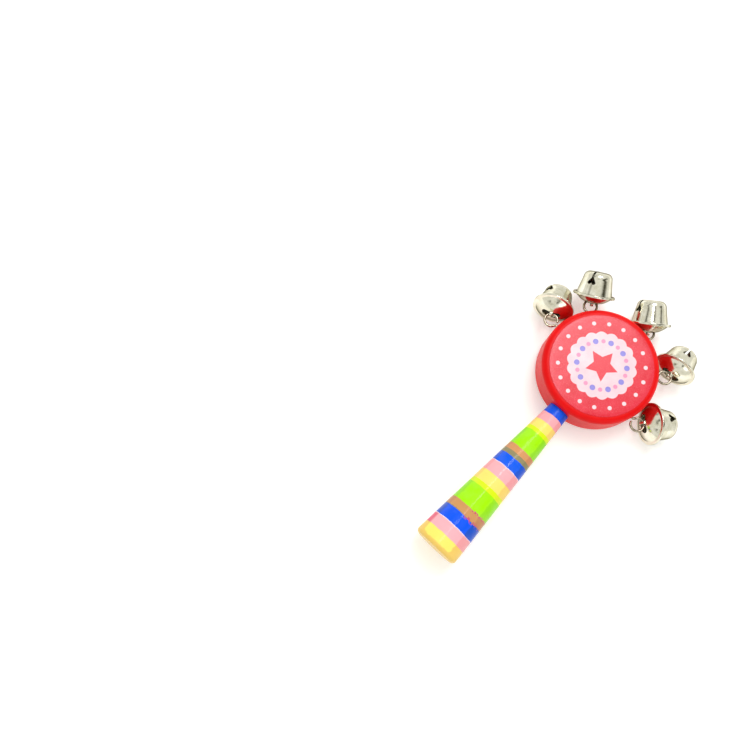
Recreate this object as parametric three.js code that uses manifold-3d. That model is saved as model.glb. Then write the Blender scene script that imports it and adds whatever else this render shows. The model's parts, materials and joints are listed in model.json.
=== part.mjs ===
// Wooden baby rattle: a round lacquered head on a tapered striped handle, with jingle bells hanging from
// screw eyes around the rim. Millimetres, +Z up. The head's flat back is on z = 0, centred on the origin,
// and the handle runs along -Y.
import * as THREE from 'three';
import { mergeVertices } from 'three/addons/utils/BufferGeometryUtils.js';
import Module from 'manifold-3d';

const wasm = await Module();
wasm.setup();

// Head: a turned wooden disc with a printed film on its front face
const HEAD_DIAMETER = 60;
const HEAD_THICKNESS = 21;
const HEAD_EDGE_ROUND = 3;
const FILM_MARGIN = 0.4;
const FILM_THICKNESS = 0.25;
const GLUE_LINE = 0.05;

// Handle: a tapered stick whose tenon is glued into the head
const HANDLE_LENGTH = 94.4;
const HANDLE_NECK_DIAMETER = 11.4;
const HANDLE_END_DIAMETER = 24.6;
const HANDLE_END_ROUND = 2.2;
const TENON_DIAMETER = 8;
const TENON_LENGTH = 15;
const TENON_ROOT = 3;
const GLUE_CLEARANCE = 0.15;

// Screw eyes: bent wire with a threaded, pointed shank
const WIRE_DIAMETER = 1.3;
const EYE_RING_DIAMETER = 6.8;
const EYE_BEND_RADIUS = 1;
const EYE_STANDOFF = 0.3;
const EYE_END_GAP = 0.4;
const SHANK_LENGTH = 9;
const SHANK_POINT = 2;
const THREAD_DIAMETER = 1.9;
const THREAD_PITCH = 1.2;
const PILOT_CLEARANCE = 0.15;

// Bells: a domed cap crimped round the flange of a deep cup
const BELL_DIAMETER = 21.8;
const SHEET = 0.35;
const DOME_HEIGHT = 4.2;
const CUP_DEPTH = 12.4;
const CUP_MOUTH_DIAMETER = 18.6;
const CUP_BASE_DIAMETER = 15;
const CUP_CORNER_RADIUS = 3.2;
const CRIMP_CLEARANCE = 0.12;
const STRAP_WIDTH = 1.4;
const STRAP_SPAN = 4;
const STRAP_HOLE_SPACING = 6;
const STRAP_RISE = 1.1;
const SLOT_WIDTH = 1.1;
const HEART_WIDTH = 4.4;
const HEART_HEIGHT = 3.6;
const HEART_LOBE_DIAMETER = 2.1;
const HEART_NOTCH = 0.95;
const HEART_ABOVE_FLANGE = 5.6;
const PELLET_DIAMETER = 5.2;
const PELLET_CLEARANCE = 0.3;
const PELLET_DEPTH = 6;
const BELL_TO_HEAD = 0.4;

// Where each bell hangs: its eye round the rim in degrees from straight up the rattle, in millimetres how far
// the eye is turned out and the bell pushed in over its wire, and in degrees how far the bell has slid round
// the eye, its turn on the wire, its rise at rest and the turn of its sound holes
const BELLS = [
  { eye: 82.5, out: 0.4, pushed: 0, slide: -40, yaw: -23, rise: -18, holes: 42 },
  { eye: 44.8, out: 0, pushed: 1, slide: -26, yaw: 12, rise: 27, holes: 26 },
  { eye: -11.4, out: 0, pushed: 2.5, slide: 31, yaw: 16, rise: 18, holes: 65 },
  { eye: -53, out: 1, pushed: 0, slide: 32, yaw: 23, rise: -13, holes: 10 },
  { eye: -102.5, out: 0, pushed: 0, slide: 66, yaw: -10, rise: -17, holes: 14 },
];

// Facets
const HEAD_SIDES = 48;
const HANDLE_SIDES = 28;
const TENON_SIDES = 20;
const BELL_SIDES = 24;
const WIRE_SIDES = 8;
const ROUND_STEPS = 4;
const RING_STEPS = 26;
const WELD = 1e-4;

// Places worked out from the sizes
const HEAD_RADIUS = HEAD_DIAMETER / 2;
const AXIS_HEIGHT = HEAD_THICKNESS / 2;
const WIRE_RADIUS = WIRE_DIAMETER / 2;
const RING_RADIUS = EYE_RING_DIAMETER / 2;
const BEND_ANGLE = Math.asin(EYE_BEND_RADIUS / (RING_RADIUS + EYE_BEND_RADIUS));
const BEND_START = (RING_RADIUS + EYE_BEND_RADIUS) * Math.cos(BEND_ANGLE);
const RING_CENTRE = HEAD_RADIUS + EYE_STANDOFF + BEND_START;
const BELL_RADIUS = BELL_DIAMETER / 2;
const DOME_TOP = WIRE_RADIUS;
const BRIM_TOP = DOME_TOP - DOME_HEIGHT;
const BRIM_UNDER = BRIM_TOP - SHEET;
const FLANGE_TOP = BRIM_UNDER - CRIMP_CLEARANCE;
const FLANGE_UNDER = FLANGE_TOP - SHEET;
const LIP_TOP = FLANGE_UNDER - CRIMP_CLEARANCE;
const LIP_UNDER = LIP_TOP - SHEET;
const CUP_BOTTOM = FLANGE_TOP - CUP_DEPTH;
const MOUTH_RADIUS = CUP_MOUTH_DIAMETER / 2;
const BASE_RADIUS = CUP_BASE_DIAMETER / 2;

const rad = THREE.MathUtils.degToRad;

// Finishes
const finish = (color, roughness, metalness) =>
  new THREE.MeshStandardMaterial({ color, roughness, metalness });
const RED_LACQUER = finish(0xe8141c, 0.3, 0);
const PRINT_FILM = finish(0xf7808f, 0.45, 0);
const STRIPED_PAINT = finish(0xa6d81a, 0.4, 0);
const EYE_WIRE = finish(0xc9c3b4, 0.3, 1);
const NICKEL = finish(0xd9d6c6, 0.2, 1);
const PELLET_STEEL = finish(0x8f8f8c, 0.45, 1);

// Closed geometry to a solid: weld it, drop collapsed triangles and face it outwards
function solid(geometry) {
  const bare = new THREE.BufferGeometry();
  bare.setAttribute('position', geometry.attributes.position);
  bare.setIndex(geometry.index);
  const welded = mergeVertices(bare, WELD);
  const at = (i) => new THREE.Vector3().fromBufferAttribute(welded.attributes.position, i);
  const faces = [];
  let volume = 0;
  for (let i = 0; i < welded.index.count; i += 3) {
    const [a, b, c] = [0, 1, 2].map((k) => welded.index.getX(i + k));
    if (a === b || b === c || c === a) continue;
    faces.push(a, b, c);
    volume += at(a).dot(at(b).cross(at(c)));
  }
  return new wasm.Manifold(new wasm.Mesh({
    numProp: 3,
    vertProperties: new Float32Array(welded.attributes.position.array),
    triVerts: new Uint32Array(volume < 0 ? faces.reverse() : faces),
  }));
}

function mesh(name, body, material) {
  const { vertProperties, triVerts } = body.getMesh();
  const geometry = new THREE.BufferGeometry();
  geometry.setAttribute('position', new THREE.BufferAttribute(vertProperties, 3));
  geometry.setIndex(new THREE.BufferAttribute(triVerts, 1));
  geometry.computeVertexNormals();
  const result = new THREE.Mesh(geometry, material);
  result.name = name;
  return result;
}

// Profile of [radius, height] points turned about Z
function turned(profile, sides) {
  const points = profile.map(([radius, height]) => new THREE.Vector2(radius, height));
  return new THREE.LatheGeometry(points, sides).rotateX(Math.PI / 2);
}

// Points of an arc in a profile, from one angle to another in degrees
function arc(centre, radius, from, to, steps = ROUND_STEPS) {
  const points = [];
  for (let i = 0; i <= steps; i += 1) {
    const angle = rad(from + ((to - from) * i) / steps);
    points.push([centre[0] + radius * Math.cos(angle), centre[1] + radius * Math.sin(angle)]);
  }
  return points;
}

// Round bar along X from one place to another
function barAlongX(diameter, from, to, sides) {
  const bar = new THREE.CylinderGeometry(diameter / 2, diameter / 2, to - from, sides);
  return bar.rotateZ(Math.PI / 2).translate((from + to) / 2, 0, 0);
}

function tenonBar(diameter, from, to) {
  return barAlongX(diameter, from, to, TENON_SIDES).rotateZ(-Math.PI / 2);
}

// Head disc with the handle's socket and a pilot hole for each eye
function headDisc() {
  const half = HEAD_THICKNESS / 2;
  const flat = HEAD_RADIUS - HEAD_EDGE_ROUND;
  const lift = half - HEAD_EDGE_ROUND;
  const profile = [
    [0, -half],
    ...arc([flat, -lift], HEAD_EDGE_ROUND, -90, 0),
    ...arc([flat, lift], HEAD_EDGE_ROUND, 0, 90),
    [0, half],
  ];
  const socketDepth = TENON_LENGTH + GLUE_CLEARANCE;
  const socket = tenonBar(TENON_DIAMETER + 2 * GLUE_CLEARANCE, HEAD_RADIUS - socketDepth, HEAD_DIAMETER);
  let body = solid(turned(profile, HEAD_SIDES)).subtract(solid(socket));
  const pilotFrom = HEAD_RADIUS - SHANK_LENGTH - PILOT_CLEARANCE;
  for (const { eye } of BELLS) {
    const pilot = barAlongX(THREAD_DIAMETER + 2 * PILOT_CLEARANCE, pilotFrom, HEAD_DIAMETER, WIRE_SIDES);
    body = body.subtract(solid(pilot.rotateZ(rad(90 + eye))));
  }
  return mesh('head_disc', body, RED_LACQUER);
}

function printFilm() {
  const radius = HEAD_RADIUS - HEAD_EDGE_ROUND - FILM_MARGIN;
  const film = turned([[0, 0], [radius, 0], [radius, FILM_THICKNESS], [0, FILM_THICKNESS]], HEAD_SIDES);
  const result = mesh('front_print_film', solid(film), PRINT_FILM);
  result.position.z = HEAD_THICKNESS / 2 + GLUE_LINE;
  return result;
}

// Tapered handle, hollowed at the neck to sit on the head's rim, with its tenon
function handle() {
  const seat = HEAD_RADIUS + GLUE_CLEARANCE;
  const end = -HEAD_RADIUS - HANDLE_LENGTH;
  const neckRadius = HANDLE_NECK_DIAMETER / 2;
  const endRadius = HANDLE_END_DIAMETER / 2;
  const round = arc([endRadius - HANDLE_END_ROUND, end + HANDLE_END_ROUND], HANDLE_END_ROUND, -90, 0);
  const profile = [[0, end], ...round, [neckRadius, -HEAD_RADIUS], [neckRadius, 0], [0, 0]];
  const points = profile.map(([radius, y]) => new THREE.Vector2(radius, y));
  const stick = solid(new THREE.LatheGeometry(points, HANDLE_SIDES));
  const rim = turned([[0, -seat], [seat, -seat], [seat, seat], [0, seat]], HEAD_SIDES);
  const tenon = tenonBar(TENON_DIAMETER, HEAD_RADIUS - TENON_LENGTH, seat + TENON_ROOT);
  return mesh('handle', stick.subtract(solid(rim)).add(solid(tenon)), STRIPED_PAINT);
}

// Wire ring of a screw eye, from the shank round to its free end, in the XY plane about the ring's centre
class EyeWire extends THREE.Curve {
  constructor() {
    super();
    this.straight = EYE_STANDOFF;
    this.bend = (Math.PI / 2 - BEND_ANGLE) * EYE_BEND_RADIUS;
    const freeEnd = Math.asin((WIRE_DIAMETER + EYE_END_GAP) / RING_RADIUS);
    this.turn = 2 * Math.PI - BEND_ANGLE - freeEnd;
    this.total = this.straight + this.bend + this.turn * RING_RADIUS;
  }

  getPoint(share, target = new THREE.Vector3()) {
    let run = share * this.total;
    if (run < this.straight) return target.set(-BEND_START - this.straight + run, 0, 0);
    run -= this.straight;
    if (run < this.bend) {
      const angle = run / EYE_BEND_RADIUS;
      const x = -BEND_START + EYE_BEND_RADIUS * Math.sin(angle);
      return target.set(x, EYE_BEND_RADIUS * (1 - Math.cos(angle)), 0);
    }
    const angle = Math.PI - BEND_ANGLE - (run - this.bend) / RING_RADIUS;
    return target.set(RING_RADIUS * Math.cos(angle), RING_RADIUS * Math.sin(angle), 0);
  }
}

// Threaded shank along X from its point to the rim, in the ring's frame
function shank() {
  const rim = -BEND_START - EYE_STANDOFF;
  const tip = rim - SHANK_LENGTH;
  const profile = [[0, tip], [WIRE_RADIUS, tip + SHANK_POINT]];
  for (let x = tip + SHANK_POINT + THREAD_PITCH; x < rim - THREAD_PITCH; x += THREAD_PITCH) {
    profile.push([THREAD_DIAMETER / 2, x - THREAD_PITCH / 2], [WIRE_RADIUS, x]);
  }
  profile.push([WIRE_RADIUS, rim + EYE_STANDOFF / 2], [0, rim + EYE_STANDOFF / 2]);
  const points = profile.map(([radius, x]) => new THREE.Vector2(radius, x));
  return new THREE.LatheGeometry(points, WIRE_SIDES).rotateZ(-Math.PI / 2);
}

function wireSection() {
  return new THREE.Shape().absarc(0, 0, WIRE_RADIUS, 0, 2 * Math.PI);
}

function screwEye(name) {
  const ring = new THREE.ExtrudeGeometry(wireSection(), {
    extrudePath: new EyeWire(),
    steps: RING_STEPS,
    curveSegments: WIRE_SIDES / 4,
    bevelEnabled: false,
  });
  return mesh(name, solid(ring).add(solid(shank())), EYE_WIRE);
}

// Domed cap, crimped under the cup's flange, with the opening and strap that the eye passes under. The
// wire's centre is the origin, level with the crown it lies in, and the bell hangs along -Z
function bellCap() {
  const domeEdge = MOUTH_RADIUS;
  const sphere = (domeEdge ** 2 + DOME_HEIGHT ** 2) / (2 * DOME_HEIGHT);
  const spread = THREE.MathUtils.radToDeg(Math.asin(domeEdge / sphere));
  const centre = [0, DOME_TOP - sphere];
  const inner = sphere - SHEET;
  const innerSpread = THREE.MathUtils.radToDeg(Math.acos((BRIM_UNDER - centre[1]) / inner));
  const wall = BELL_RADIUS - SHEET;
  const lipEdge = MOUTH_RADIUS + 2 * CRIMP_CLEARANCE;
  const profile = [
    ...arc(centre, sphere, 90, 90 - spread),
    [wall, BRIM_TOP],
    [BELL_RADIUS, BRIM_UNDER],
    [BELL_RADIUS, LIP_TOP],
    [wall, LIP_UNDER],
    [lipEdge, LIP_UNDER],
    [lipEdge, LIP_TOP],
    [wall, LIP_TOP],
    [wall, BRIM_UNDER],
    ...arc(centre, inner, 90 - innerSpread, 90),
  ];
  const cap = solid(turned(profile, BELL_SIDES));
  return cap.subtract(solid(strapOpening())).add(solid(strap()));
}

// Two round holes and the gap between them under the strap
function strapOpening() {
  const half = STRAP_HOLE_SPACING / 2;
  const outline = new THREE.Shape();
  outline.absarc(0, half, STRAP_SPAN / 2, 0, Math.PI);
  outline.absarc(0, -half, STRAP_SPAN / 2, Math.PI, 2 * Math.PI);
  const curveSegments = ROUND_STEPS * 2;
  const depth = DOME_HEIGHT;
  const cut = new THREE.ExtrudeGeometry(outline, { depth, curveSegments, bevelEnabled: false });
  return cut.translate(0, 0, DOME_TOP - depth / 2);
}

// Raised strap: half of an oval band over the wire, its feet in the dome
function strap() {
  const span = STRAP_SPAN / 2;
  const foot = -SHEET;
  const band = new THREE.Shape();
  band.moveTo(span + SHEET, foot);
  band.absellipse(0, 0, span + SHEET, STRAP_RISE + SHEET, 0, Math.PI);
  band.lineTo(-span - SHEET, foot);
  band.lineTo(-span, foot);
  band.absellipse(0, 0, span, STRAP_RISE, Math.PI, 0, true);
  band.lineTo(span, foot);
  const arch = new THREE.ExtrudeGeometry(band, {
    depth: STRAP_WIDTH,
    curveSegments: ROUND_STEPS * 2,
    bevelEnabled: false,
  });
  return arch.translate(0, 0, -STRAP_WIDTH / 2).rotateX(Math.PI / 2).translate(0, 0, DOME_TOP);
}

// Deep cup with a flange, cut by one slot that ends in a heart on either side
function bellCup() {
  const flangeEdge = BELL_RADIUS - SHEET - CRIMP_CLEARANCE;
  const corner = CUP_CORNER_RADIUS;
  const innerCorner = corner - SHEET;
  const turn = [BASE_RADIUS - corner, CUP_BOTTOM + corner];
  const profile = [
    [flangeEdge, FLANGE_TOP],
    [flangeEdge, FLANGE_UNDER],
    [MOUTH_RADIUS, FLANGE_UNDER],
    ...arc(turn, corner, 0, -90),
    [0, CUP_BOTTOM],
    [0, CUP_BOTTOM + SHEET],
    ...arc(turn, innerCorner, -90, 0),
    [MOUTH_RADIUS - SHEET, FLANGE_TOP],
    [flangeEdge, FLANGE_TOP],
  ];
  return solid(turned(profile, BELL_SIDES)).subtract(solid(soundSlot()));
}

// Heart with its point running down into the slot, carried straight through the cup along X
function soundSlot() {
  const half = SLOT_WIDTH / 2;
  const lobe = HEART_LOBE_DIAMETER / 2;
  const aside = HEART_WIDTH / 2 - lobe;
  const crest = FLANGE_UNDER - HEART_ABOVE_FLANGE;
  const top = crest - lobe;
  const lobeEnd = rad(150);
  const outline = new THREE.Shape();
  outline.moveTo(half, CUP_BOTTOM - SHEET);
  outline.lineTo(half, crest - HEART_HEIGHT);
  outline.absarc(aside, top, lobe, 0, lobeEnd);
  outline.lineTo(0, crest - HEART_NOTCH);
  outline.absarc(-aside, top, lobe, Math.PI - lobeEnd, Math.PI);
  outline.lineTo(-half, crest - HEART_HEIGHT);
  outline.lineTo(-half, CUP_BOTTOM - SHEET);
  const depth = CUP_MOUTH_DIAMETER;
  const cut = new THREE.ExtrudeGeometry(outline, { depth, curveSegments: ROUND_STEPS, bevelEnabled: false });
  return cut.translate(0, 0, -depth / 2).rotateX(Math.PI / 2).rotateZ(Math.PI / 2);
}

// Loose pellet, lying on the cup's lower wall
function bellPellet(name) {
  const radius = PELLET_DIAMETER / 2;
  const slope = (MOUTH_RADIUS - BASE_RADIUS) / (CUP_DEPTH - CUP_CORNER_RADIUS);
  const wall = MOUTH_RADIUS - SHEET - slope * PELLET_DEPTH;
  const ball = new THREE.SphereGeometry(radius, ROUND_STEPS * 3, ROUND_STEPS * 2);
  const result = mesh(name, solid(ball), PELLET_STEEL);
  const reach = (radius + PELLET_CLEARANCE) * Math.hypot(1, slope);
  result.position.set(reach - wall, 0, FLANGE_TOP - PELLET_DEPTH);
  return result;
}

// How near a bell's rim comes to the head's axis when it has slid this far round its eye
function rimReach({ out, pushed, yaw, rise }, slide) {
  const link = RING_RADIUS - pushed;
  const heading = rad(slide + yaw);
  const level = Math.cos(rad(rise));
  const reach = -(BRIM_TOP + LIP_UNDER) / 2;
  const x = RING_CENTRE + out + link * Math.cos(rad(slide)) + reach * level * Math.cos(heading);
  const y = link * Math.sin(rad(slide)) + reach * level * Math.sin(heading);
  const along = (level * (x * Math.cos(heading) + y * Math.sin(heading))) / Math.hypot(x, y);
  return Math.hypot(x, y) - BELL_RADIUS * Math.sqrt(1 - along ** 2);
}

// A bell slides round its eye only until its rim meets the head
function restingSlide(spot) {
  const limit = HEAD_RADIUS + BELL_TO_HEAD;
  let result = spot.slide;
  while (rimReach(spot, result) < limit && Math.abs(result) > 1) result -= Math.sign(spot.slide);
  return result;
}

// Screw eye and its bell, in a frame whose X points straight out of the rim
function eyeAndBell(spot, number, cap, cup) {
  const eye = new THREE.Group();
  eye.rotation.z = rad(90 + spot.eye);
  const ring = screwEye(`screw_eye_${number}`);
  ring.position.x = RING_CENTRE + spot.out;
  const link = new THREE.Group();
  link.position.x = RING_CENTRE + spot.out;
  link.rotation.z = rad(restingSlide(spot));
  const swing = new THREE.Group();
  swing.position.x = RING_RADIUS - spot.pushed;
  swing.rotation.y = -Math.asin(Math.sin(rad(spot.rise)) / Math.cos(rad(spot.yaw)));
  const bell = new THREE.Group();
  bell.rotation.set(0, -Math.PI / 2, rad(spot.yaw), 'ZYX');
  const cupMesh = mesh(`bell_cup_${number}`, cup, NICKEL);
  cupMesh.rotation.z = rad(spot.holes);
  bell.add(mesh(`bell_cap_${number}`, cap, NICKEL), cupMesh, bellPellet(`bell_pellet_${number}`));
  swing.add(bell);
  link.add(swing);
  eye.add(ring, link);
  return eye;
}

function rattle() {
  const group = new THREE.Group();
  group.position.z = AXIS_HEIGHT;
  group.add(headDisc(), printFilm(), handle());
  const cap = bellCap();
  const cup = bellCup();
  BELLS.forEach((spot, index) => group.add(eyeAndBell(spot, index + 1, cap, cup)));
  return group;
}

export default rattle();
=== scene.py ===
"""Looks of the wooden baby rattle: lacquered head, printed film, striped handle, screw eyes and jingle bells.

Every piece is a skin of numpy points in metres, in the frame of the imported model, and stands for one solid of it.
"""
import json
import math

import bpy
import numpy as np
from mathutils import Matrix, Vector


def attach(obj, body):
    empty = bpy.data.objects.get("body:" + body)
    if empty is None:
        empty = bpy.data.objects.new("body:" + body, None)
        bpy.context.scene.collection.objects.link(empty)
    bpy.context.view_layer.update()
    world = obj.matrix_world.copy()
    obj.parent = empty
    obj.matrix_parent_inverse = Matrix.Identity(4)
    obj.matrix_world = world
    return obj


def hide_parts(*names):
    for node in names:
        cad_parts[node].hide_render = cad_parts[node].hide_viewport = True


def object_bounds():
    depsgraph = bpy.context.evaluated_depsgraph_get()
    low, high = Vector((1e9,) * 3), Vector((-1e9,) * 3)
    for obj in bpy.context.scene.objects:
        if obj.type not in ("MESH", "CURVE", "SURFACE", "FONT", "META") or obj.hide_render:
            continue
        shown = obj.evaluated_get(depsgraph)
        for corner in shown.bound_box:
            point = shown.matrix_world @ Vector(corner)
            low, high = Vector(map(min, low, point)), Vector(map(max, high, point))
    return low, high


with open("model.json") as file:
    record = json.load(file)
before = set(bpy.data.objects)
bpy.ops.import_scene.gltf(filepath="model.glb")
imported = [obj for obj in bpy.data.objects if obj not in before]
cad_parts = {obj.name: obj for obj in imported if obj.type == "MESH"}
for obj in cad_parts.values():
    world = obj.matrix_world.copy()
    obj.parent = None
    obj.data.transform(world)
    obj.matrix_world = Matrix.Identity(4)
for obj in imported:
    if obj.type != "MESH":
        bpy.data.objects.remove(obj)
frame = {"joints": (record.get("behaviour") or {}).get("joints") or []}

CAD_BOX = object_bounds()
MM = 0.001

# Head and film, millimetres
HEAD_RADIUS = 30.0
HEAD_THICKNESS = 21.0
HEAD_EDGE_ROUND = 3.0
FILM_RADIUS = 26.6
FILM_THICKNESS = 0.25
FILM_EDGE_ROUND = 0.2
GLUE_LINE = 0.05

# Handle
HANDLE_LENGTH = 94.4
NECK_RADIUS = 5.7
END_RADIUS = 12.3
END_ROUND = 2.2
TENON_RADIUS = 4.0
TENON_LENGTH = 15.0
GLUE_CLEARANCE = 0.15

# Screw eyes
EYE_ANGLES = (82.5, 44.8, -11.4, -53.0, -102.5)
EYE_TURNED_OUT = (0.4, 0.0, 0.0, 1.0, 0.0)
WIRE_RADIUS = 0.65
RING_RADIUS = 3.4
EYE_BEND_RADIUS = 1.0
EYE_STANDOFF = 0.3
EYE_END_GAP = 0.4
SHANK_LENGTH = 9.0
SHANK_POINT = 2.0
PLAIN_SHANK = 1.0
THREAD_RADIUS = 0.95
THREAD_PITCH = 1.2
THREAD_SHARPNESS = 2.2
PILOT_CLEARANCE = 0.15

# Bells
HOLE_TURNS = (42.0, 26.0, 65.0, 10.0, 14.0)
BELL_RADIUS = 10.9
SHEET = 0.35
DOME_HEIGHT = 4.2
CUP_DEPTH = 12.4
MOUTH_RADIUS = 9.3
BASE_RADIUS = 7.5
CUP_CORNER_RADIUS = 3.2
CRIMP_CLEARANCE = 0.12
STRAP_WIDTH = 1.4
STRAP_SPAN = 4.0
STRAP_HOLE_SPACING = 6.0
STRAP_RISE = 1.1
STRAP_SINK = 0.05
STRAP_END_TURN = 0.16
STRAP_SQUARENESS = 0.4
SLOT_WIDTH = 1.1
HEART_WIDTH = 4.4
HEART_HEIGHT = 3.6
HEART_LOBE_RADIUS = 1.05
HEART_NOTCH = 0.95
HEART_ABOVE_FLANGE = 5.6
PELLET_RADIUS = 2.6
PELLET_CLEARANCE = 0.3
PELLET_DEPTH = 6.0
PRESSED_FILLET = 0.8

# Sides of the round skins, and how far a cut runs past what it cuts
HEAD_SIDES = 216
HANDLE_SIDES = 128
BELL_SIDES = 120
BALL_SIDES = 48
HOLE_SIDES = 32
STRAP_SIDES = 28
WIRE_SIDES = 24
CUT_BEYOND = 1.0

# Plated metal is a little darker where it turns away
EDGE_TINT = (0.2, 0.19, 0.14, 1.0)

# Places worked out from the sizes
AXIS_HEIGHT = HEAD_THICKNESS / 2
BEND_ANGLE = math.asin(EYE_BEND_RADIUS / (RING_RADIUS + EYE_BEND_RADIUS))
BEND_START = (RING_RADIUS + EYE_BEND_RADIUS) * math.cos(BEND_ANGLE)
RING_CENTRE = HEAD_RADIUS + EYE_STANDOFF + BEND_START
DOME_TOP = WIRE_RADIUS
BRIM_TOP = DOME_TOP - DOME_HEIGHT
BRIM_UNDER = BRIM_TOP - SHEET
FLANGE_TOP = BRIM_UNDER - CRIMP_CLEARANCE
FLANGE_UNDER = FLANGE_TOP - SHEET
LIP_TOP = FLANGE_UNDER - CRIMP_CLEARANCE
LIP_UNDER = LIP_TOP - SHEET
CUP_BOTTOM = FLANGE_TOP - CUP_DEPTH

# Stripes of the handle from the head's rim: where each ends, in millimetres, its lit colour on the painted
# lit strip, and its darker colour beside it, which is painted shade
STRIPES = (
    (4.9, (4, 86, 238), (4, 74, 212)),
    (5.2, (250, 232, 246), (246, 206, 220)),
    (10.3, (250, 178, 186), (248, 160, 166)),
    (15.5, (254, 236, 120), (252, 214, 110)),
    (17.8, (226, 250, 22), (224, 242, 22)),
    (28.8, (170, 248, 4), (150, 230, 6)),
    (32.5, (222, 158, 104), (206, 140, 96)),
    (35.3, (152, 144, 106), (142, 134, 98)),
    (41.3, (4, 96, 248), (6, 82, 214)),
    (41.6, (250, 232, 246), (246, 206, 220)),
    (48.1, (252, 184, 192), (249, 164, 170)),
    (54.7, (254, 238, 122), (252, 216, 110)),
    (57.2, (228, 250, 24), (226, 242, 24)),
    (68.9, (172, 250, 4), (154, 234, 6)),
    (73.1, (214, 156, 98), (200, 140, 94)),
    (73.6, (160, 142, 108), (150, 130, 100)),
    (80.2, (14, 92, 252), (14, 82, 206)),
    (80.5, (252, 234, 248), (246, 206, 220)),
    (86.7, (254, 186, 196), (250, 164, 170)),
    (94.4, (252, 244, 116), (252, 210, 104)),
)
SPECKS_AT = (69.0, 73.6)
# Stretch of the last pink band, millimetres from the head's rim, whose edge towards minus X is darkened to magenta:
# painted shade
EDGE_SHADE_SPAN = (81.0, 87.0)
# Painted lit strip along the handle, where the stripes show their lit colours and painted shade lies beside it:
# its middle and half width as shares of the handle's radius, and the round of its end
LIT_STRIP_MIDDLE = -0.155
LIT_STRIP_HALF = 0.685
LIT_STRIP_ROUND = 2.0

# Print on the film, millimetres from its middle
MEDALLION_RADIUS = 16.6
SCALLOPS = 18
SCALLOP_RISE = 1.2
STAR_POINT = 8.6
STAR_NOTCH = 4.4
INNER_DOT_RING = 12.7
INNER_DOTS = 10
LILAC_DOT = 1.45
PINK_DOT = 1.1
OUTER_DOT_RING = 22.2
OUTER_DOTS = 18
OUTER_DOT = 1.05

# Room: its pale and dim colours, how fine the dim patches are, the levels of the pattern between which they turn
# pale, and the heights of direction between which they come in
PALE_ROOM = (0.84, 0.84, 0.8, 1)
DIM_ROOM = (0.05, 0.048, 0.03, 1)
PATCH_SCALE = 2.2
PATCH_LEVELS = (0.4, 0.5)
PATCHES_FROM = (0.3, 0.5)

# Floor: half its side in metres, and the glow that makes its paper white to the eye
FLOOR_REACH = 3.0
FLOOR_GLOW = 0.32

# Lamps: name, place and aim in metres, width, length and watts
LAMPS = (
    ("key", (-0.13, 0.4, 0.85), (0, -0.03, 0), 0.4, 0.4, 2.6),
    ("strip", (-0.08, 0.14, 0.9), (0, -0.08, 0), 0.12, 0.3, 0.8),
    ("fill", (0.6, -0.35, 0.6), (0, -0.03, 0), 0.6, 0.6, 0.8),
)

# Straight up but for a little, so that no lamp lies along it
NEARLY_UP = (0, 0.1, 1)

# Camera: its place in millimetres from the middle of the head, its directions, and its focal length and picture
# width in pixels
CAMERA_PLACE = (-19.6055, -145.9846, 394.9054)
CAMERA_RIGHT = (0.7251008, 0.6886426, -0.0004960)
CAMERA_DOWN = (0.6714365, -0.7071433, -0.2216334)
CAMERA_FORWARD = (-0.1529770, 0.1603735, -0.9751299)
FOCAL_PIXELS = 779.4
PICTURE_PIXELS = 750
SENSOR_WIDTH = 36.0


def linear(red, green, blue):
    """Screen colour of 0 to 255 as the linear colour that a shader takes."""
    share = np.array([red, green, blue]) / 255
    low, high = share / 12.92, ((share + 0.055) / 1.055) ** 2.4
    return tuple(np.where(share <= 0.04045, low, high).tolist()) + (1.0,)


def arc(centre, radius, start, stop, count):
    """Points of a circle about a centre, from one angle to another in degrees."""
    angle = np.radians(np.linspace(start, stop, count))
    return np.stack([centre[0] + radius * np.cos(angle), centre[1] + radius * np.sin(angle)], 1)


def chain(*runs):
    """Runs of profile points joined end to end, with points that repeat left out."""
    points = np.concatenate([np.atleast_2d(np.asarray(run, float)) for run in runs])
    step = np.linalg.norm(np.diff(points, axis=0), axis=1)
    return points[np.concatenate([[True], step > 1e-6])]


def line(start, stop, count):
    """Evenly spaced points from one place to another."""
    return np.linspace(start, stop, count)


def turned(profile, sides):
    """Profile of radius and height turned about Z: x is radius times cosine, y radius times sine, z the height."""
    angle = np.linspace(0, 2 * np.pi, sides, endpoint=False)
    x = profile[:, :1] * np.cos(angle)
    y = profile[:, :1] * np.sin(angle)
    z = np.broadcast_to(profile[:, 1:], x.shape)
    return np.stack([x, y, z], -1)


def skin(name, rings):
    """Closed skin over rings of points, rings[i, j] being point j of ring i: four-sided faces join each ring to
    the next, and the first and last rings are single points closed by fans."""
    count, sides, _ = rings.shape
    points = np.concatenate([rings[0, :1], rings[1:-1].reshape(-1, 3), rings[-1, :1]])
    here = 1 + np.arange((count - 2) * sides).reshape(count - 2, sides)
    beside = np.roll(here, -1, axis=1)
    walls = np.stack([here[:-1], beside[:-1], beside[1:], here[1:]], -1).reshape(-1, 4)
    first = np.stack([np.zeros(sides, int), beside[0], here[0]], -1)
    last = np.stack([np.full(sides, len(points) - 1), here[-1], beside[-1]], -1)
    fans = np.concatenate([first, last])
    triangles = np.concatenate([walls[:, :3], walls[:, [0, 2, 3]], fans])
    a, b, c = (points[triangles[:, k]] for k in range(3))
    if np.einsum("ij,ij->i", a, np.cross(b, c)).sum() < 0:
        walls, fans = walls[:, ::-1], fans[:, ::-1]
    mesh = bpy.data.meshes.new(name)
    mesh.from_pydata((points * MM).tolist(), [], walls.tolist() + fans.tolist())
    return mesh


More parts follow.
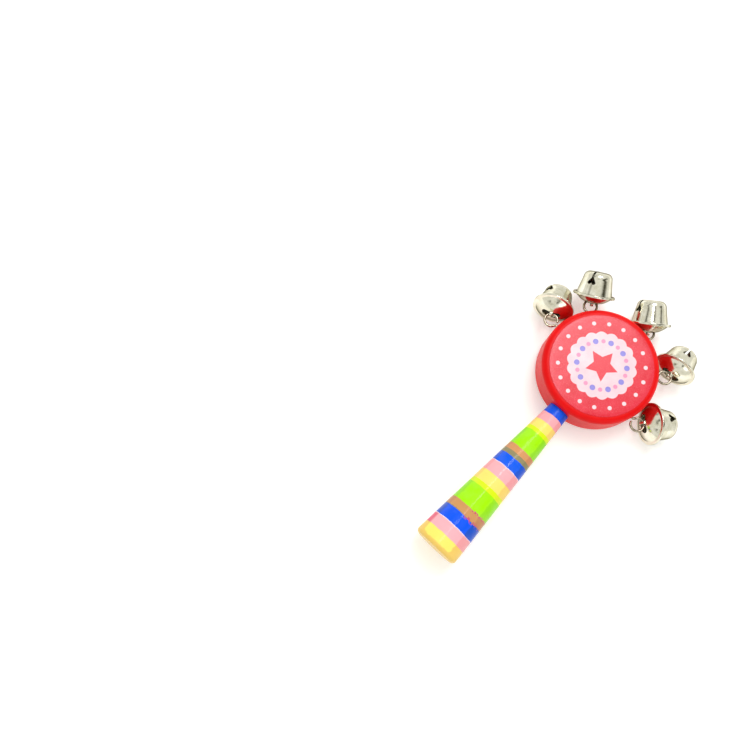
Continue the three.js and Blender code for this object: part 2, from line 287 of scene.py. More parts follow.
def prism(name, outline, low, high, middle=(0, 0)):
    """Flat outline of x and y points about a middle, carried straight along Z from one height to another."""
    centre = np.broadcast_to(middle, outline.shape)
    flat = [(centre, low), (outline, low), (outline, high), (centre, high)]
    return skin(name, np.stack([np.column_stack([xy, np.full(len(xy), z)]) for xy, z in flat]))


def placed(mesh, matrix):
    """The mesh moved by a matrix whose shift is in millimetres."""
    move = matrix.copy()
    move.translation *= MM
    mesh.transform(move)
    return mesh


def frame_of(x, y, z, place):
    """Matrix whose columns are three directions and a place."""
    matrix = Matrix.Identity(4)
    for column, values in enumerate((x, y, z, place)):
        for row in range(3):
            matrix[row][column] = values[row]
    return matrix


def combine(mesh, others, operation):
    """Cuts other closed skins out of a mesh, or joins them to it."""
    body = bpy.data.objects.new(mesh.name, mesh)
    bpy.context.scene.collection.objects.link(body)
    tools = []
    for other in others:
        tool = bpy.data.objects.new(other.name, other)
        bpy.context.scene.collection.objects.link(tool)
        step = body.modifiers.new(other.name, "BOOLEAN")
        step.operation, step.solver, step.object = operation, "EXACT", tool
        tools.append(tool)
    bpy.context.view_layer.update()
    result = bpy.data.meshes.new_from_object(body.evaluated_get(bpy.context.evaluated_depsgraph_get()))
    for spare in tools + [body]:
        bpy.data.objects.remove(spare)
    return result


def show(name, mesh, body, node, finish, sharp=35):
    """Puts a skin in the scene as the piece that stands for a node."""
    mesh.name = name
    mesh.shade_smooth()
    mesh.set_sharp_from_angle(angle=math.radians(sharp))
    mesh.materials.clear()
    mesh.materials.append(finish)
    piece = bpy.data.objects.new(name, mesh)
    bpy.context.scene.collection.objects.link(piece)
    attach(piece, body)
    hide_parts(node)


# Shapes

def eye_frame(angle):
    """Frame of a screw eye: X points straight out of the rim at this angle from straight up the rattle."""
    return Matrix.Translation((0, 0, AXIS_HEIGHT)) @ Matrix.Rotation(math.radians(90 + angle), 4, "Z")


def head_disc():
    """Rounded disc turned about Z: flat back, quarter round, straight wall, quarter round, flat front. The socket
    of the handle and the pilot holes of the eyes are cut out of it."""
    flat = HEAD_RADIUS - HEAD_EDGE_ROUND
    low, high = HEAD_EDGE_ROUND, HEAD_THICKNESS - HEAD_EDGE_ROUND
    profile = chain(
        line((0, 0), (flat, 0), 10),
        arc((flat, low), HEAD_EDGE_ROUND, -90, 0, 14),
        line((HEAD_RADIUS, low), (HEAD_RADIUS, high), 12),
        arc((flat, high), HEAD_EDGE_ROUND, 0, 90, 14),
        line((flat, HEAD_THICKNESS), (0, HEAD_THICKNESS), 10),
    )
    disc = skin("head_disc", turned(profile, HEAD_SIDES))
    outwards = Matrix.Rotation(math.radians(90), 4, "Y")
    cuts = []
    for angle in EYE_ANGLES:
        hole = bored("pilot", THREAD_RADIUS + PILOT_CLEARANCE, HEAD_RADIUS - SHANK_LENGTH - PILOT_CLEARANCE)
        cuts.append(placed(hole, eye_frame(angle) @ outwards))
    socket = bored("socket", TENON_RADIUS + GLUE_CLEARANCE, HEAD_RADIUS - TENON_LENGTH - GLUE_CLEARANCE)
    cuts.append(placed(socket, eye_frame(180) @ outwards))
    return combine(disc, cuts, "DIFFERENCE")


def bored(name, radius, start):
    """Round hole along Z: a circle carried from its blind end to beyond the rim."""
    return prism(name, arc((0, 0), radius, 0, 360, HOLE_SIDES + 1)[:-1], start, HEAD_RADIUS + 2 * CUT_BEYOND)


def print_film():
    """Thin round sheet turned about Z with a rounded upper edge."""
    low = HEAD_THICKNESS + GLUE_LINE
    high = low + FILM_THICKNESS
    flat = FILM_RADIUS - FILM_EDGE_ROUND
    profile = chain(
        line((0, low), (FILM_RADIUS, low), 12),
        arc((flat, high - FILM_EDGE_ROUND), FILM_EDGE_ROUND, 0, 90, 6),
        line((flat, high), (0, high), 12),
    )
    return skin("front_print_film", turned(profile, HEAD_SIDES))


def handle():
    """Tapered stick about Y: rings run from the end's centre over its rounding and along the straight taper to the
    neck, whose last ring lies on the head's rim, y being minus the root of the seat's radius squared less x
    squared. From there the rings close in over the same seat to the tenon and end at its tip."""
    end = -HEAD_RADIUS - HANDLE_LENGTH
    seat = HEAD_RADIUS + GLUE_CLEARANCE
    flat = END_RADIUS - END_ROUND
    stick = chain(
        line((0, end), (flat, end), 8),
        arc((flat, end + END_ROUND), END_ROUND, -90, 0, 14),
        line((END_RADIUS, end + END_ROUND), (NECK_RADIUS, -HEAD_RADIUS), 80)[:-1],
    )
    angle = np.linspace(0, 2 * np.pi, HANDLE_SIDES, endpoint=False)
    radius = np.broadcast_to(stick[:, :1], (len(stick), len(angle)))
    along = np.broadcast_to(stick[:, 1:], radius.shape)
    closing = np.broadcast_to(line(NECK_RADIUS, TENON_RADIUS, 6)[:, None], (6, len(angle)))
    saddle = -np.sqrt(seat ** 2 - (closing * np.sin(angle)) ** 2)
    tenon = np.full((5, len(angle)), TENON_RADIUS)
    reach = np.linspace(saddle[-1], -(HEAD_RADIUS - TENON_LENGTH) * np.ones(len(angle)), 6)[1:]
    radius = np.concatenate([radius, closing, tenon, tenon[:1] * 0])
    along = np.concatenate([along, saddle, reach, reach[-1:]])
    rings = np.stack([radius * np.sin(angle), along, AXIS_HEIGHT + radius * np.cos(angle)], -1)
    return skin("handle", rings)


def screw_eye():
    """Round wire along a flat path in the frame of its ring: the straight shank, a bend with its centre off to one
    side and the open ring. The radius rises from the point, waves along the shank as a helical thread, a ridge at
    each turn of angle less distance over pitch, and closes in a half round at the free end."""
    rim = -BEND_START - EYE_STANDOFF
    tip = rim - SHANK_LENGTH
    straight = line(tip, -BEND_START, 110)
    bend = np.linspace(0, np.pi / 2 - BEND_ANGLE, 14)
    free_end = math.asin((2 * WIRE_RADIUS + EYE_END_GAP) / RING_RADIUS)
    ring = np.linspace(np.pi - BEND_ANGLE, free_end - np.pi, 100)
    path = chain(
        np.column_stack([straight, np.zeros(len(straight))]),
        np.column_stack([-BEND_START + EYE_BEND_RADIUS * np.sin(bend), EYE_BEND_RADIUS * (1 - np.cos(bend))]),
        RING_RADIUS * np.column_stack([np.cos(ring), np.sin(ring)]),
    )
    tangent = np.gradient(path, axis=0)
    tangent /= np.linalg.norm(tangent, axis=1, keepdims=True)
    close = np.radians(np.linspace(15, 90, 6))[:, None]
    path = np.concatenate([path, path[-1] + tangent[-1] * WIRE_RADIUS * np.sin(close)])
    tangent = np.concatenate([tangent, np.repeat(tangent[-1:], len(close), 0)])
    side = np.column_stack([-tangent[:, 1], tangent[:, 0]])
    angle = np.linspace(0, 2 * np.pi, WIRE_SIDES, endpoint=False)
    run = path[:, :1] - tip
    core = WIRE_RADIUS * np.clip(run / SHANK_POINT, 0, 1)
    core[-len(close):] = WIRE_RADIUS * np.cos(close)
    on_shank = (np.arange(len(path)) < len(straight))[:, None]
    starts = np.clip((run - SHANK_POINT / 2) / SHANK_POINT, 0, 1)
    stops = np.clip((SHANK_LENGTH - PLAIN_SHANK - run) / THREAD_PITCH, 0, 1)
    ridge = np.abs(np.mod(run / THREAD_PITCH - angle / (2 * np.pi), 1) - 0.5) * 2
    crest = np.clip(1 - THREAD_SHARPNESS * (1 - ridge), 0, 1)
    radius = core + on_shank * starts * stops * (THREAD_RADIUS - WIRE_RADIUS) * crest
    across = radius * np.cos(angle)
    rings = np.stack([
        path[:, :1] + across * side[:, :1],
        path[:, 1:] + across * side[:, 1:],
        radius * np.sin(angle),
    ], -1)
    return skin("screw_eye", rings)


def bell_cap():
    """Pressed dome turned about the bell's axis: part of a sphere, a hollow fillet, a flat brim rolled round the
    flange's edge and back under it, and the same sphere less the sheet inside. Two round holes and the gap between
    them are cut through it, and the strap is joined on."""
    sphere = (MOUTH_RADIUS ** 2 + DOME_HEIGHT ** 2) / (2 * DOME_HEIGHT)
    centre = DOME_TOP - sphere
    up = BRIM_TOP + PRESSED_FILLET - centre
    out = math.sqrt((sphere + PRESSED_FILLET) ** 2 - up ** 2)
    meet = math.degrees(math.atan2(up, out))
    inner = sphere - SHEET
    inner_meet = math.degrees(math.asin((BRIM_UNDER - centre) / inner))
    wall = BELL_RADIUS - SHEET
    lip = MOUTH_RADIUS + 2 * CRIMP_CLEARANCE
    profile = chain(
        arc((0, centre), sphere, 90, meet, 26),
        arc((out, BRIM_TOP + PRESSED_FILLET), PRESSED_FILLET, meet - 180, -90, 8),
        arc((wall, BRIM_UNDER), SHEET, 90, 0, 7),
        arc((wall, LIP_TOP), SHEET, 0, -90, 7),
        [(lip, LIP_UNDER), (lip, LIP_TOP), (wall, LIP_TOP), (wall, BRIM_UNDER)],
        arc((0, centre), inner, inner_meet, 90, 22),
    )
    profile[[0, -1], 0] = 0
    cap = skin("bell_cap", turned(profile, BELL_SIDES))
    half = STRAP_HOLE_SPACING / 2
    outline = chain(arc((0, half), STRAP_SPAN / 2, 0, 180, 20), arc((0, -half), STRAP_SPAN / 2, 180, 360, 20))
    holes = prism("strap_holes", outline, DOME_TOP - DOME_HEIGHT / 2, DOME_TOP + CUT_BEYOND)
    return combine(combine(cap, [holes], "DIFFERENCE"), [strap()], "UNION")


def strap():
    """Band bent into half an oval over the wire: inner and outer ovals of the same centre, carried across the
    strap's width, with edges rounded by a superellipse section."""
    angle = np.concatenate([[-STRAP_END_TURN], np.linspace(0, np.pi, 41), [np.pi + STRAP_END_TURN]])
    turn = np.linspace(0, 2 * np.pi, STRAP_SIDES, endpoint=False)
    flat = np.sign(np.cos(turn)) * np.abs(np.cos(turn)) ** STRAP_SQUARENESS * STRAP_WIDTH / 2
    thick = np.sign(np.sin(turn)) * np.abs(np.sin(turn)) ** STRAP_SQUARENESS * SHEET / 2
    span = STRAP_SPAN / 2 + SHEET / 2 + thick
    lift = STRAP_RISE + SHEET / 2 + thick
    rings = np.stack([
        np.cos(angle)[:, None] * span,
        np.broadcast_to(flat, (len(angle), len(flat))),
        DOME_TOP - STRAP_SINK + np.sin(angle)[:, None] * lift,
    ], -1)
    ends = rings[[0, -1]].mean(1, keepdims=True) * np.ones((1, len(turn), 1))
    return skin("strap", np.concatenate([ends[:1], rings, ends[1:]]))


def bell_cup():
    """Deep pressed cup turned about the bell's axis: flat base, round corner, sloping wall and flat flange, and
    the same walls less the sheet inside. One slot with a heart at either end is cut through it."""
    edge = BELL_RADIUS - SHEET - CRIMP_CLEARANCE
    corner = (BASE_RADIUS - CUP_CORNER_RADIUS, CUP_BOTTOM + CUP_CORNER_RADIUS)
    foot = np.array([BASE_RADIUS, corner[1]])
    mouth = np.array([MOUTH_RADIUS, FLANGE_UNDER])
    inner_mouth = (MOUTH_RADIUS - SHEET, FLANGE_TOP)
    inner_foot = (BASE_RADIUS - SHEET, corner[1])
    profile = chain(
        line((0, CUP_BOTTOM), (corner[0], CUP_BOTTOM), 8),
        arc(corner, CUP_CORNER_RADIUS, -90, 0, 14),
        line(foot, mouth, 16),
        [(edge, FLANGE_UNDER), (edge, FLANGE_TOP)],
        line(inner_mouth, inner_foot, 16),
        arc(corner, CUP_CORNER_RADIUS - SHEET, 0, -90, 12),
        line((corner[0], CUP_BOTTOM + SHEET), (0, CUP_BOTTOM + SHEET), 8),
    )
    return combine(skin("bell_cup", turned(profile, BELL_SIDES)), [sound_slot()], "DIFFERENCE")


def sound_slot():
    """Slot outline with a heart at its upper end, two round lobes with a notch between them over straight sides,
    carried through the cup."""
    half = SLOT_WIDTH / 2
    aside = HEART_WIDTH / 2 - HEART_LOBE_RADIUS
    crest = FLANGE_UNDER - HEART_ABOVE_FLANGE
    top = crest - HEART_LOBE_RADIUS
    outline = chain(
        [(half, CUP_BOTTOM - CUT_BEYOND), (half, crest - HEART_HEIGHT)],
        arc((aside, top), HEART_LOBE_RADIUS, 0, 150, 16),
        [(0, crest - HEART_NOTCH)],
        arc((-aside, top), HEART_LOBE_RADIUS, 30, 180, 16),
        [(-half, crest - HEART_HEIGHT), (-half, CUP_BOTTOM - CUT_BEYOND)],
    )
    across = Matrix.Rotation(math.radians(90), 4, "Z") @ Matrix.Rotation(math.radians(90), 4, "X")
    middle = (0, crest - HEART_HEIGHT * 0.55)
    return placed(prism("sound_slot", outline, -2 * MOUTH_RADIUS, 2 * MOUTH_RADIUS, middle), across)


def bell_pellet():
    """Ball lying on the cup's lower wall: half circle turned about Z and moved to its place in the bell."""
    slope = (MOUTH_RADIUS - BASE_RADIUS) / (CUP_DEPTH - CUP_CORNER_RADIUS)
    wall = MOUTH_RADIUS - SHEET - slope * PELLET_DEPTH
    reach = (PELLET_RADIUS + PELLET_CLEARANCE) * math.hypot(1, slope)
    profile = arc((0, 0), PELLET_RADIUS, -90, 90, 25)
    profile[[0, -1], 0] = 0
    ball = skin("bell_pellet", turned(profile, BALL_SIDES))
    return placed(ball, Matrix.Translation((reach - wall, 0, FLANGE_TOP - PELLET_DEPTH)))


def bell_frame(number):
    """Frame of a bell from its two hinges: the wire is the origin, Z runs up the bell's axis against its cup and X
    along the strap, which is the swing's axis crossed with the bell's."""
    joints = {joint["name"]: joint for joint in frame["joints"]}
    swing = joints[f"bell_{number}_swing"]
    down = np.array(joints[f"pellet_{number}_roll"]["axis"], float)
    down /= np.linalg.norm(down)
    x = np.cross(swing["axis"], down)
    x /= np.linalg.norm(x)
    return frame_of(x, np.cross(-down, x), -down, np.array(swing["pos_m"]) / MM)


# Finishes

class Finish:
    """A material and short ways of adding nodes to it."""

    def __init__(self, name):
        self.material = bpy.data.materials.new(name)
        self.material.use_nodes = True
        self.tree = self.material.node_tree
        self.shader = self.tree.nodes["Principled BSDF"]
        self.place = self.node("ShaderNodeTexCoord").outputs["Object"]

    def node(self, kind, inputs=None, **settings):
        """New node with its settings and inputs."""
        made = self.tree.nodes.new(kind)
        for key, value in settings.items():
            setattr(made, key, value)
        for key, value in (inputs or {}).items():
            self.put(made.inputs[key], value)
        return made

    def put(self, socket, value):
        """Gives a socket another node's output, or a plain value."""
        if isinstance(value, bpy.types.NodeSocket):
            self.tree.links.new(value, socket)
        else:
            socket.default_value = value

    def sums(self, operation, *values):
        """One step of arithmetic."""
        inputs = dict(enumerate(values))
        return self.node("ShaderNodeMath", inputs, operation=operation).outputs[0]

    def noise(self, size, detail=3.0, rough=0.5, vector=None):
        """Cloudy pattern whose spots are about this many millimetres across."""
        inputs = {"Vector": vector or self.place, "Scale": 1 / (size * MM), "Detail": detail, "Roughness": rough}
        return self.node("ShaderNodeTexNoise", inputs).outputs["Fac"]

    def spread(self, value, low, high, to_low=0.0, to_high=1.0):
        """A value's run from low to high stretched to another run and held at its ends."""
        inputs = {"Value": value, "From Min": low, "From Max": high, "To Min": to_low, "To Max": to_high}
        return self.node("ShaderNodeMapRange", inputs).outputs["Result"]

    def mix(self, share, first, second):
        """Colour between two others."""
        inputs = {0: share, 6: first, 7: second}
        return self.node("ShaderNodeMix", inputs, data_type="RGBA").outputs[2]

    def bump(self, height, distance, under=None):
        """Relief of a height pattern, its depth in millimetres."""
        inputs = {"Height": height, "Distance": distance * MM, "Strength": 1.0}
        if under:
            inputs["Normal"] = under
        return self.node("ShaderNodeBump", inputs).outputs["Normal"]

    def set(self, **values):
        """Gives the surface its values, an underline standing for a space, and hands over the material."""
        for key, value in values.items():
            self.put(self.shader.inputs[key.replace("_", " ")], value)
        return self.material


def red_lacquer():
    """Satin red lacquer over turned wood: faint grain lengthwise and a little orange peel."""
    f = Finish("red_lacquer")
    stretched = f.node("ShaderNodeMapping", {"Vector": f.place, "Scale": (1.0, 0.12, 1.0)}).outputs[0]
    grain = f.noise(1.6, 5, 0.6, stretched)
    tone = f.mix(f.spread(f.noise(9, 2), 0.35, 0.65), linear(230, 2, 5), linear(240, 5, 9))
    tone = f.mix(f.spread(grain, 0.55, 0.75, 0, 0.25), tone, linear(224, 2, 6))
    relief = f.bump(grain, 0.012, f.bump(f.noise(1.1, 2), 0.02))
    rough = f.spread(f.noise(0.8, 4), 0.3, 0.7, 0.34, 0.46)
    return f.set(Base_Color=tone, Roughness=rough, Normal=relief, Specular_IOR_Level=0.18)


def polar(f):
    """Distance from the head's axis in millimetres, and angle about it."""
    split = f.node("ShaderNodeSeparateXYZ", {"Vector": f.place})
    x, y = (f.sums("DIVIDE", split.outputs[k], MM) for k in range(2))
    flat = f.sums("ADD", f.sums("MULTIPLY", x, x), f.sums("MULTIPLY", y, y))
    return f.sums("SQRT", flat), f.sums("ARCTAN2", y, x)


def folded(f, angle, count, start=0.0):
    """Angle from the nearest of so many spokes, never below zero."""
    step = 2 * math.pi / count
    shifted = f.sums("ADD", angle, 4 * math.pi - start + step / 2)
    return f.sums("ABSOLUTE", f.sums("SUBTRACT", f.sums("MODULO", shifted, step), step / 2))


def inside(f, distance, edge=0.0, soft=0.07):
    """1 where a distance is under its edge and 0 beyond it, with a narrow soft border."""
    return f.spread(f.sums("SUBTRACT", edge, distance), -soft, soft)


def dots(f, radius, angle, ring, count, size, start=0.0):
    """Ring of dots: distance from the nearest spoke's dot, less than its radius."""
    fold = folded(f, angle, count, start)
    across = f.sums("SUBTRACT", f.sums("MULTIPLY", radius, f.sums("COSINE", fold)), ring)
    aside = f.sums("MULTIPLY", radius, f.sums("SINE", fold))
    flat = f.sums("ADD", f.sums("MULTIPLY", across, across), f.sums("MULTIPLY", aside, aside))
    return inside(f, f.sums("SQRT", flat), size)


def star(f, radius, angle, outer, inner):
    """Five-pointed star: past the line from each point to the notch beside it, or not."""
    fold = folded(f, angle, 5, math.pi / 2)
    notch = (inner * math.cos(math.pi / 5), inner * math.sin(math.pi / 5))
    long = math.hypot(notch[1], outer - notch[0])
    across, aside = notch[1] / long, (outer - notch[0]) / long
    reach = f.sums("ADD", f.sums("MULTIPLY", f.sums("COSINE", fold), across),
                   f.sums("MULTIPLY", f.sums("SINE", fold), aside))
    return inside(f, f.sums("MULTIPLY", radius, reach), across * outer)


def print_finish():
    """Coral printed film with a scalloped pale medallion, a star and rings of dots, and a fine pebbled surface."""
    f = Finish("print_film")
    radius, angle = polar(f)
    cloud = f.noise(7, 3)
    speck = f.noise(0.45, 4, 0.65)
    tone = f.mix(f.spread(cloud, 0.35, 0.65), linear(226, 28, 50), linear(234, 46, 68))
    tone = f.mix(f.spread(speck, 0.5, 0.75, 0, 0.35), tone, linear(240, 104, 120))
    scallop = f.sums("MULTIPLY", f.sums("ABSOLUTE", f.sums("SINE", f.sums("MULTIPLY", angle, SCALLOPS / 2))),
                     SCALLOP_RISE)
    pale = inside(f, f.sums("SUBTRACT", radius, scallop), MEDALLION_RADIUS)
    cream = f.mix(f.spread(cloud, 0.3, 0.7), linear(243, 204, 215), linear(245, 220, 228))
    tone = f.mix(pale, tone, cream)
    lilac = dots(f, radius, angle, INNER_DOT_RING, INNER_DOTS, LILAC_DOT)
    tone = f.mix(lilac, tone, linear(146, 138, 224))
    pink = dots(f, radius, angle, INNER_DOT_RING, INNER_DOTS, PINK_DOT, math.pi / INNER_DOTS)
    tone = f.mix(pink, tone, linear(240, 150, 190))
    tone = f.mix(star(f, radius, angle, STAR_POINT, STAR_NOTCH), tone, linear(236, 58, 74))
    outer = dots(f, radius, angle, OUTER_DOT_RING, OUTER_DOTS, OUTER_DOT)
    tone = f.mix(outer, tone, linear(244, 220, 228))
    relief = f.bump(speck, 0.02, f.bump(f.noise(1.3, 2), 0.04))
    rough = f.spread(speck, 0.3, 0.7, 0.2, 0.3)
    return f.set(Base_Color=tone, Roughness=rough, Normal=relief, Specular_IOR_Level=0.4)


def striped_print():
    """Glossy striped print round the handle: bands by distance from the head with slightly uneven edges, lighter
    on a painted lit strip and darker beside it as painted shade, and specks of magenta along the last tan band."""
    f = Finish("striped_paint")
    split = f.node("ShaderNodeSeparateXYZ", {"Vector": f.place})
    x = f.sums("DIVIDE", split.outputs[0], MM)
    along = f.sums("SUBTRACT", f.sums("DIVIDE", split.outputs[1], -MM), HEAD_RADIUS)
    wander = f.spread(f.noise(7, 2), 0.3, 0.7, -0.2, 0.2)
    ragged = f.spread(f.noise(0.9, 3), 0.3, 0.7, -0.1, 0.1)
    uneven = f.sums("ADD", f.sums("ADD", along, wander), ragged)
    radius = f.spread(along, 0, HANDLE_LENGTH, NECK_RADIUS, END_RADIUS)
    across = f.sums("DIVIDE", x, radius)
    # Painted light: lit colours on the strip, darker painted shade colours beside it
    lit_share = lit_strip_mask(f, x, along, radius)
    tone = f.mix(lit_share, bands(f, uneven, 2), bands(f, uneven, 1))
    # Painted shade: the last pink band turns darker magenta along the handle's edge towards minus X
    pink = f.sums("ABSOLUTE", f.sums("SUBTRACT", uneven, sum(EDGE_SHADE_SPAN) / 2))
    edge_shade = f.sums("MULTIPLY", inside(f, pink, (EDGE_SHADE_SPAN[1] - EDGE_SHADE_SPAN[0]) / 2), inside(f, across, -0.88, 0.05))
    tone = f.mix(edge_shade, tone, linear(236, 92, 126))
    for place, reach in zip(SPECKS_AT, (0.7, 1.0)):
        near = inside(f, f.sums("ABSOLUTE", f.sums("SUBTRACT", uneven, place)), reach, 0.3)
        spots = f.sums("MULTIPLY", f.spread(f.noise(1.1, 2), 0.52, 0.57), f.spread(across, -0.15, 0.1))
        tone = f.mix(f.sums("MULTIPLY", near, spots), tone, linear(216, 84, 120))
    tone = f.mix(f.spread(f.noise(6, 4), 0.45, 0.75, 0, 0.03), tone, (1, 1, 1, 1))
    relief = f.bump(f.noise(1.5, 3), 0.02)
    rough = f.spread(f.noise(2, 4), 0.3, 0.7, 0.32, 0.44)
    return f.set(Base_Color=tone, Roughness=rough, Normal=relief, Specular_IOR_Level=0.1, Coat_Weight=0.3,
                 Coat_Roughness=0.07, Coat_IOR=1.4)


def bands(f, along, column):
    """Colour of the stripe at a distance from the head, from one column of the stripes' table."""
    ramp = f.node("ShaderNodeValToRGB", {"Fac": f.sums("DIVIDE", along, HANDLE_LENGTH + 1)})
    stops = ramp.color_ramp
    stops.interpolation = "CONSTANT"
    starts = [0.0] + [stripe[0] / (HANDLE_LENGTH + 1) for stripe in STRIPES[:-1]]
    for index, (start, stripe) in enumerate(zip(starts, STRIPES)):
        stop = stops.elements[0] if index == 0 else stops.elements.new(start)
        stop.color = linear(*stripe[column])
    stops.elements.remove(stops.elements[-1])
    return ramp.outputs["Color"]


def lit_strip_mask(f, x, along, radius):
    """1 on the painted lit strip, where the stripes show their lit colours, and 0 in the painted shade beside it: a
    long box with a round end, by its distance from the box less the round."""
    wobble = f.spread(f.noise(3, 2), 0.3, 0.7, -0.3, 0.3)
    aside = f.sums("ABSOLUTE", f.sums("SUBTRACT", x, f.sums("MULTIPLY", radius, LIT_STRIP_MIDDLE)))
    reach = f.sums("SUBTRACT", f.sums("MULTIPLY", radius, LIT_STRIP_HALF), LIT_STRIP_ROUND)
    over = f.sums("MAXIMUM", f.sums("SUBTRACT", aside, reach), 0.0)
    past = f.sums("MAXIMUM", f.sums("SUBTRACT", along, HANDLE_LENGTH - END_ROUND - LIT_STRIP_ROUND), 0.0)
    far = f.sums("SQRT", f.sums("ADD", f.sums("MULTIPLY", over, over), f.sums("MULTIPLY", past, past)))
    return inside(f, f.sums("ADD", far, wobble), LIT_STRIP_ROUND, 0.35)


def nickel_plate():
    """Bright nickel plate on pressed sheet: slight dents and ripples, dulled in clouds."""
    f = Finish("nickel_plate")
    tone = f.mix(f.spread(f.noise(3.5, 4), 0.35, 0.7), linear(226, 222, 200), linear(246, 243, 228))
    relief = f.bump(f.noise(4.5, 2), 0.05, f.bump(f.noise(0.5, 3), 0.004))
    rough = f.spread(f.noise(1.2, 5, 0.6), 0.3, 0.75, 0.1, 0.22)
    return f.set(Base_Color=tone, Roughness=rough, Normal=relief, Metallic=1.0, Specular_Tint=EDGE_TINT)


def eye_wire():
    """Bright drawn wire with fine draw marks."""
    f = Finish("eye_wire")
    cloud = f.noise(1.2, 4)
    tone = f.mix(f.spread(cloud, 0.35, 0.7), linear(150, 138, 120), linear(198, 188, 170))
    rough = f.spread(f.noise(0.4, 5, 0.6), 0.3, 0.75, 0.14, 0.28)
    return f.set(Base_Color=tone, Roughness=rough, Normal=f.bump(f.noise(0.3, 3), 0.006), Metallic=1.0,
                 Specular_Tint=EDGE_TINT)


def pellet_steel():
    """Plain steel ball, dull with small rubbed spots."""
    f = Finish("pellet_steel")
    cloud = f.noise(1.0, 4)
    tone = f.mix(f.spread(cloud, 0.35, 0.7), linear(120, 120, 118), linear(168, 167, 164))
    rough = f.spread(cloud, 0.3, 0.7, 0.3, 0.55)
    return f.set(Base_Color=tone, Roughness=rough, Normal=f.bump(f.noise(0.4, 3), 0.01), Metallic=1.0)


# The rattle

def build():
    """Every piece in its finish, on the body that carries it."""
    lacquer, film, stripes = red_lacquer(), print_finish(), striped_print()
    nickel, wire, steel = nickel_plate(), eye_wire(), pellet_steel()
    show("lacquered_head", head_disc(), "rattle", "head_disc", lacquer)
    show("printed_film", print_film(), "rattle", "front_print_film", film)
    show("striped_handle", handle(), "rattle", "handle", stripes)
    eye, cap, cup, ball = screw_eye(), bell_cap(), bell_cup(), bell_pellet()
    for number, (angle, out, holes) in enumerate(zip(EYE_ANGLES, EYE_TURNED_OUT, HOLE_TURNS), 1):
        ring = placed(eye.copy(), eye_frame(angle) @ Matrix.Translation((RING_CENTRE + out, 0, 0)))
        show(f"eye_ring_{number}", ring, "rattle", f"screw_eye_{number}", wire)
        place = bell_frame(number)
        turn = place @ Matrix.Rotation(math.radians(holes), 4, "Z")
        bell, pellet = f"bell_{number}", f"pellet_{number}"
        show(f"cap_{number}", placed(cap.copy(), place), bell, f"bell_cap_{number}", nickel)
        show(f"cup_{number}", placed(cup.copy(), turn), bell, f"bell_cup_{number}", nickel)
        show(f"ball_{number}", placed(ball.copy(), place), pellet, f"bell_pellet_{number}", steel)


# Stage

def seen_share(tree):
    """1 for rays that come from the camera or off a mirror or glass, 0 for the rest."""
    path = tree.nodes.new("ShaderNodeLightPath")
    total = path.outputs["Is Camera Ray"]
    for name in ("Is Glossy Ray", "Is Transmission Ray"):
        add = tree.nodes.new("ShaderNodeMath")
        add.operation = "MAXIMUM"
        tree.links.new(total, add.inputs[0])
        tree.links.new(path.outputs[name], add.inputs[1])
        total = add.outputs[0]
    return total


def floor(height):
    """White paper under the rattle, which keeps its shadow."""
    mesh = bpy.data.meshes.new("floor")
    corners = [(-1, -1), (1, -1), (1, 1), (-1, 1)]
    mesh.from_pydata([(x * FLOOR_REACH, y * FLOOR_REACH, height) for x, y in corners], [], [(0, 1, 2, 3)])
    ground = bpy.data.objects.new("floor", mesh)
    bpy.context.scene.collection.objects.link(ground)
    paper = bpy.data.materials.new("floor_paper")
    paper.use_nodes = True
    tree = paper.node_tree
    shader = tree.nodes["Principled BSDF"]
    shader.inputs["Base Color"].default_value = linear(246, 245, 243)
    shader.inputs["Roughness"].default_value = 0.9
    shader.inputs["Specular IOR Level"].default_value = 0.0
    shader.inputs["Emission Color"].default_value = (1, 1, 1, 1)
    scale = tree.nodes.new("ShaderNodeMath")
    scale.operation = "MULTIPLY"
    scale.inputs[1].default_value = FLOOR_GLOW
    tree.links.new(seen_share(tree), scale.inputs[0])
    tree.links.new(scale.outputs[0], shader.inputs["Emission Strength"])
    mesh.materials.append(paper)


def lamp(name, place, aim, width, length, power):
    """Soft oval lamp turned towards its aim."""
    light = bpy.data.lights.new(name, "AREA")
    light.shape = "ELLIPSE"
    light.size, light.size_y = width, length
    light.energy = power
    item = bpy.data.objects.new(name, light)
    bpy.context.scene.collection.objects.link(item)
    back = np.array(place, float) - np.array(aim, float)
    back /= np.linalg.norm(back)
    x = np.cross(NEARLY_UP, back)
    x /= np.linalg.norm(x)
    item.matrix_world = frame_of(x, np.cross(back, x), back, place)


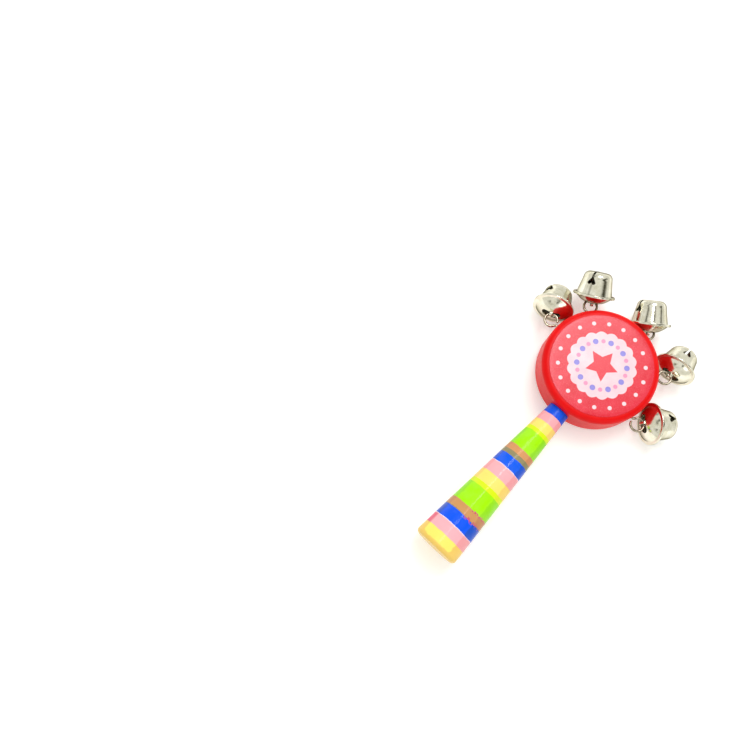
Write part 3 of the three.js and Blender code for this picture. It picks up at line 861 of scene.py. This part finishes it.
def sky():
    """Bright room: pale all round, with broad dim patches of olive grey overhead that the bells mirror as dark
    bands. The patches fade in between two heights of the direction looked in, so the horizon stays plain."""
    world = bpy.data.worlds.new("room")
    bpy.context.scene.world = world
    world.use_nodes = True
    tree = world.node_tree
    place = tree.nodes.new("ShaderNodeTexCoord").outputs["Generated"]
    noise = tree.nodes.new("ShaderNodeTexNoise")
    tree.links.new(place, noise.inputs["Vector"])
    noise.inputs["Scale"].default_value = PATCH_SCALE
    noise.inputs["Detail"].default_value = 1.0
    ramp = tree.nodes.new("ShaderNodeValToRGB")
    tree.links.new(noise.outputs["Fac"], ramp.inputs[0])
    low, high = ramp.color_ramp.elements
    low.position, high.position = PATCH_LEVELS
    low.color, high.color = DIM_ROOM, PALE_ROOM
    height = tree.nodes.new("ShaderNodeSeparateXYZ")
    tree.links.new(place, height.inputs[0])
    fade = tree.nodes.new("ShaderNodeMapRange")
    tree.links.new(height.outputs["Z"], fade.inputs["Value"])
    fade.inputs["From Min"].default_value, fade.inputs["From Max"].default_value = PATCHES_FROM
    mix = tree.nodes.new("ShaderNodeMix")
    mix.data_type = "RGBA"
    tree.links.new(fade.outputs["Result"], mix.inputs[0])
    mix.inputs[6].default_value = PALE_ROOM
    tree.links.new(ramp.outputs[0], mix.inputs[7])
    tree.links.new(mix.outputs[2], tree.nodes["Background"].inputs["Color"])


def camera():
    """Camera fitted to the head and handle: its place, and its right, down and forward directions."""
    view = bpy.data.cameras.new("camera")
    view.sensor_fit = "HORIZONTAL"
    view.sensor_width = SENSOR_WIDTH
    view.lens = SENSOR_WIDTH * FOCAL_PIXELS / PICTURE_PIXELS
    item = bpy.data.objects.new("camera", view)
    bpy.context.scene.collection.objects.link(item)
    place = (np.array(CAMERA_PLACE) + (0, 0, AXIS_HEIGHT)) * MM
    item.matrix_world = frame_of(CAMERA_RIGHT, np.negative(CAMERA_DOWN), np.negative(CAMERA_FORWARD), place)
    bpy.context.scene.camera = item


build()
floor(CAD_BOX[0].z)
sky()
for settings in LAMPS:
    lamp(*settings)
camera()
bpy.context.scene.view_settings.view_transform = "Standard"
